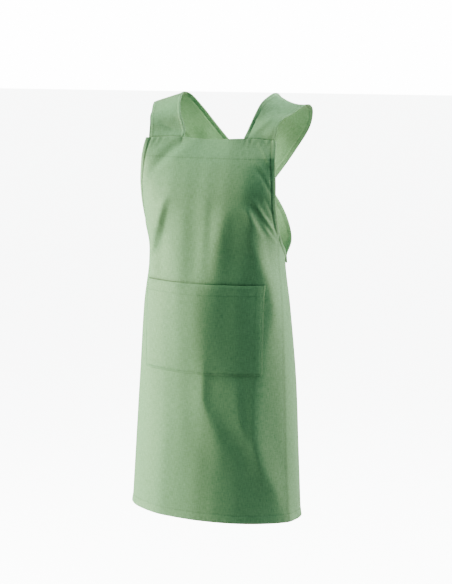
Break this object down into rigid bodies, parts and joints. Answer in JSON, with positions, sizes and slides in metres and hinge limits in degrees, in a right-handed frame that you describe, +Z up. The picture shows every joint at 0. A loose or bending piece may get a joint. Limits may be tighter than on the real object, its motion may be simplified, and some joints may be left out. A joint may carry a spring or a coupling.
{
  "type": "kitchen apron",
  "caption": "Cross-back cotton kitchen apron in its worn shape: bib and skirt front, wrap-round side panels, wide patch pocket, and broad straps that cross behind.",
  "frame": {"origin": "on the centre line midway between the straps, level with the shoulders that carry the apron", "axes": "+Z up, the front of the apron faces -Y, +X is the wearer's left"},
  "size_m": [0.426, 0.2892, 0.9672],
  "materials": {
    "cotton": "matte sage-green cotton, fine plain weave"
  },
  "bodies": {
    "root": {"front_panel": "cotton", "side_panel_left": "cotton", "side_panel_right": "cotton", "pocket": "cotton", "strap_left": "cotton", "strap_right": "cotton"}
  },
  "joints": []
}
